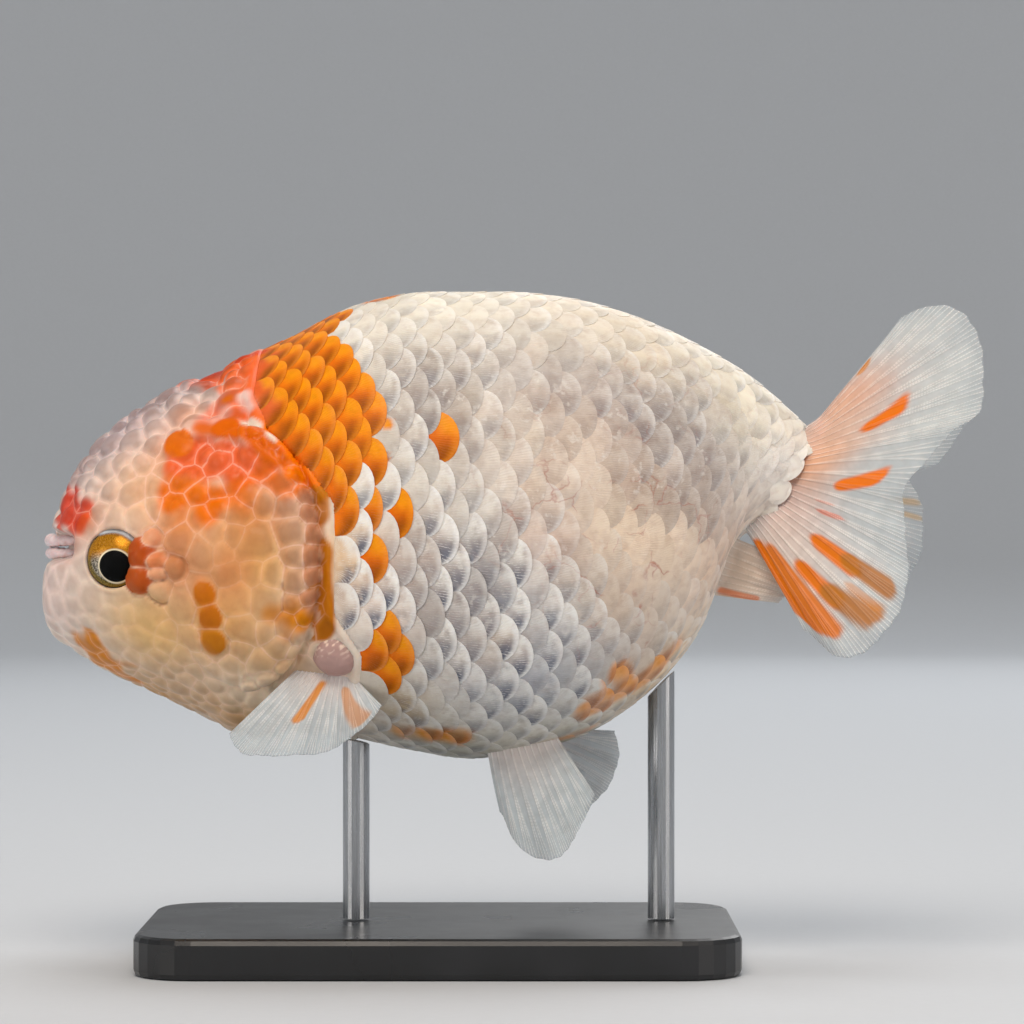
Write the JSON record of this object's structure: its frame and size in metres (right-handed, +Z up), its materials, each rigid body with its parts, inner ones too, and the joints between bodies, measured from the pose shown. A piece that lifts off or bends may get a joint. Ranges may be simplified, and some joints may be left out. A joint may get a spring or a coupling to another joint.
{
  "type": "ranchu goldfish model",
  "caption": "Life-size still model of a plump ranchu goldfish with a hooded head, split tail and no back fin, white with orange patches, held on a plain display stand by short rods.",
  "frame": {"origin": "middle of the stand base's flat underside", "axes": "+X from head to tail, -Y towards the fish's left side, +Z up"},
  "size_m": [0.1401, 0.059, 0.1],
  "materials": {
    "hood_skin": "wet, bubbly head growth: white and cream with orange patches, glossy",
    "lip_skin": "smooth pale pink lips, glossy",
    "scaled_skin": "pearly white and bluish-grey overlapping scales with orange patches, glossy",
    "fin_membrane": "thin translucent bluish-white membrane on fine rays, with orange streaks",
    "eye": "clear domed eye with a dark pupil and a golden-grey iris",
    "stand_base": "satin black acrylic with softened edges",
    "stand_steel": "fine-brushed round rod"
  },
  "bodies": {
    "root": {"head": "hood_skin", "hood": "hood_skin", "gill_cover_left": "hood_skin", "gill_cover_right": "hood_skin", "lip_upper": "lip_skin", "lip_lower": "lip_skin", "trunk": "scaled_skin", "tail_stalk": "scaled_skin", "tail_upper_left": "fin_membrane", "tail_lower_left": "fin_membrane", "pelvic_fin_left": "fin_membrane", "anal_fin_left": "fin_membrane", "pectoral_fin_left": "fin_membrane", "tail_upper_right": "fin_membrane", "tail_lower_right": "fin_membrane", "pelvic_fin_right": "fin_membrane", "anal_fin_right": "fin_membrane", "pectoral_fin_right": "fin_membrane", "eye_left": "eye", "eye_right": "eye", "stand_base": "stand_base", "stand_rod_front": "stand_steel", "stand_rod_rear": "stand_steel"}
  },
  "joints": []
}
